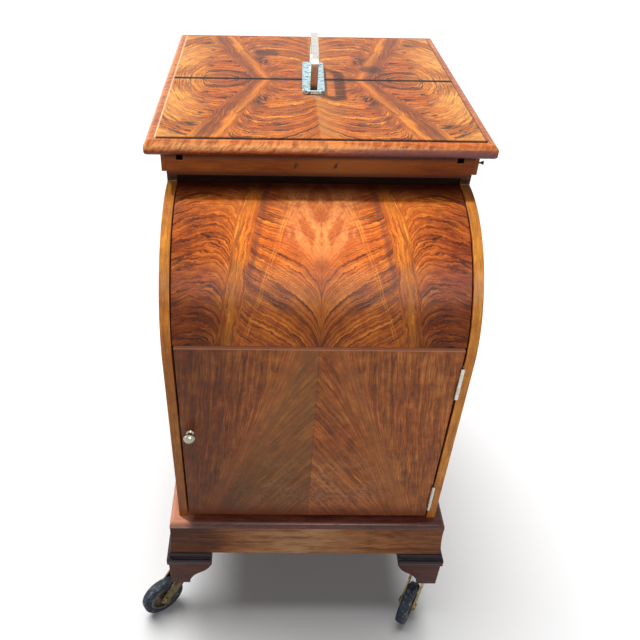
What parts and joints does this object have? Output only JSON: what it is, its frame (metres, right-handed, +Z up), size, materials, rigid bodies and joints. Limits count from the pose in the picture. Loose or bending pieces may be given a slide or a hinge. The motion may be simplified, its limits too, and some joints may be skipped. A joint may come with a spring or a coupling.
{
  "type": "cellarette",
  "caption": "Walnut cellarette on casters, with a curved shoulder, a cupboard door and a bottle lift that rises through a two-flap moulded top.",
  "frame": {"origin": "on the floor under the middle of the cabinet", "axes": "+X to the right of somebody who faces the door, +Y towards the back, +Z up"},
  "size_m": [0.6024, 0.8112, 0.9321],
  "materials": {
    "top_veneer": "figured walnut veneer, waxed",
    "curve_veneer": "figured walnut veneer, waxed",
    "door_veneer": "walnut veneer, satin",
    "carcass_walnut": "solid walnut, waxed",
    "moulding_walnut": "solid walnut, polished",
    "base_walnut": "dark walnut, polished",
    "inner_wood": "mahogany, satin",
    "nickel": "worn nickel plate",
    "steel": "plain steel",
    "dark_steel": "blackened steel",
    "brass": "dull brass",
    "hub_iron": "black japanned iron",
    "tyre_rubber": "black rubber"
  },
  "bodies": {
    "cabinet": {"side_panel_left": "carcass_walnut", "side_panel_right": "carcass_walnut", "strike_plate": "nickel", "back_panel": "carcass_walnut", "carcass_floor": "inner_wood", "well_partition": "inner_wood", "cupboard_shelf": "inner_wood", "curved_front": "curve_veneer", "door_rail": "carcass_walnut", "shoulder_strip": "carcass_walnut", "well_front_rail": "carcass_walnut", "well_rear_rail": "carcass_walnut", "well_side_rails": "carcass_walnut", "side_cleats": "carcass_walnut", "top_moulding_front": "moulding_walnut", "top_moulding_rear": "moulding_walnut", "top_mouldings_side": "moulding_walnut", "flap_pins": "steel", "lift_runners": "inner_wood", "catch_bush": "brass", "hinge_side_leaves": "nickel", "base_board": "base_walnut", "base_front_rail": "base_walnut", "base_rear_rail": "base_walnut", "base_side_rails": "base_walnut", "caster_sockets": "brass", "foot_front_left": "base_walnut", "foot_front_right": "base_walnut", "foot_rear_left": "base_walnut", "foot_rear_right": "base_walnut"},
    "front_flap": {"front_flap": "top_veneer"},
    "rear_flap": {"rear_flap": "top_veneer"},
    "lift": {"lift_platform": "inner_wood", "lift_end_left": "inner_wood", "lift_end_right": "inner_wood", "lift_shoes": "inner_wood", "lift_bridge": "inner_wood", "lift_shelf": "inner_wood", "lift_fences": "inner_wood", "bottle_rails": "brass", "handle_stem": "nickel", "handle_plate": "nickel", "handle_strap": "nickel"},
    "door": {"door_panel": "door_veneer", "hinge_door_leaves": "nickel"},
    "latch": {"door_knob": "nickel", "latch_tongue": "steel"},
    "catch": {"catch_bolt": "dark_steel"},
    "caster_front_left": {"caster_fork_front_left": "brass"},
    "wheel_front_left": {"caster_hub_front_left": "hub_iron", "caster_tyre_front_left": "tyre_rubber"},
    "caster_front_right": {"caster_fork_front_right": "brass"},
    "wheel_front_right": {"caster_hub_front_right": "hub_iron", "caster_tyre_front_right": "tyre_rubber"},
    "caster_rear_left": {"caster_fork_rear_left": "brass"},
    "wheel_rear_left": {"caster_hub_rear_left": "hub_iron", "caster_tyre_rear_left": "tyre_rubber"},
    "caster_rear_right": {"caster_fork_rear_right": "brass"},
    "wheel_rear_right": {"caster_hub_rear_right": "hub_iron", "caster_tyre_rear_right": "tyre_rubber"}
  },
  "joints": [
    {"name": "lift_rise", "type": "slide", "parent": "cabinet", "child": "lift", "axis": [0, 0, 1], "range_m": [0, 0.385]},
    {"name": "front_flap_hinge", "type": "hinge", "parent": "cabinet", "child": "front_flap", "pos_m": [0, -0.144, 0.8655], "axis": [1, 0, 0], "range_deg": [0, 90]},
    {"name": "rear_flap_hinge", "type": "hinge", "parent": "cabinet", "child": "rear_flap", "pos_m": [0, 0.329, 0.8655], "axis": [-1, 0, 0], "range_deg": [0, 90]},
    {"name": "door_hinge", "type": "hinge", "parent": "cabinet", "child": "door", "pos_m": [0.204, -0.3433, 0.4], "axis": [0, 0, 1], "range_deg": [0, 115]},
    {"name": "latch_turn", "type": "hinge", "parent": "door", "child": "latch", "pos_m": [-0.189, -0.34, 0.477], "axis": [0, -1, 0], "range_deg": [0, 90]},
    {"name": "catch_slide", "type": "slide", "parent": "cabinet", "child": "catch", "axis": [-1, 0, 0], "range_m": [0, 0.0045]},
    {"name": "swivel_front_left", "type": "hinge", "parent": "cabinet", "child": "caster_front_left", "pos_m": [-0.2255, -0.3272, 0.095], "axis": [0, 0, 1], "continuous": true},
    {"name": "roll_front_left", "type": "hinge", "parent": "caster_front_left", "child": "wheel_front_left", "pos_m": [-0.26533, -0.3554, 0.04], "axis": [0.5779, -0.8161, 0], "continuous": true},
    {"name": "swivel_front_right", "type": "hinge", "parent": "cabinet", "child": "caster_front_right", "pos_m": [0.2255, -0.3272, 0.095], "axis": [0, 0, 1], "continuous": true},
    {"name": "roll_front_right", "type": "hinge", "parent": "caster_front_right", "child": "wheel_front_right", "pos_m": [0.19986, -0.36872, 0.04], "axis": [0.8508, -0.5255, 0], "continuous": true},
    {"name": "swivel_rear_left", "type": "hinge", "parent": "cabinet", "child": "caster_rear_left", "pos_m": [-0.2255, 0.3272, 0.095], "axis": [0, 0, 1], "continuous": true},
    {"name": "roll_rear_left", "type": "hinge", "parent": "caster_rear_left", "child": "wheel_rear_left", "pos_m": [-0.19986, 0.36872, 0.04], "axis": [-0.8508, 0.5255, 0], "continuous": true},
    {"name": "swivel_rear_right", "type": "hinge", "parent": "cabinet", "child": "caster_rear_right", "pos_m": [0.2255, 0.3272, 0.095], "axis": [0, 0, 1], "continuous": true},
    {"name": "roll_rear_right", "type": "hinge", "parent": "caster_rear_right", "child": "wheel_rear_right", "pos_m": [0.26533, 0.3554, 0.04], "axis": [-0.5779, 0.8161, 0], "continuous": true}
  ],
  "couplings": [
    {"joint": "front_flap_hinge", "follows": "lift_rise", "rad_per_m": 4.0799},
    {"joint": "rear_flap_hinge", "follows": "lift_rise", "rad_per_m": 4.0799}
  ]
}
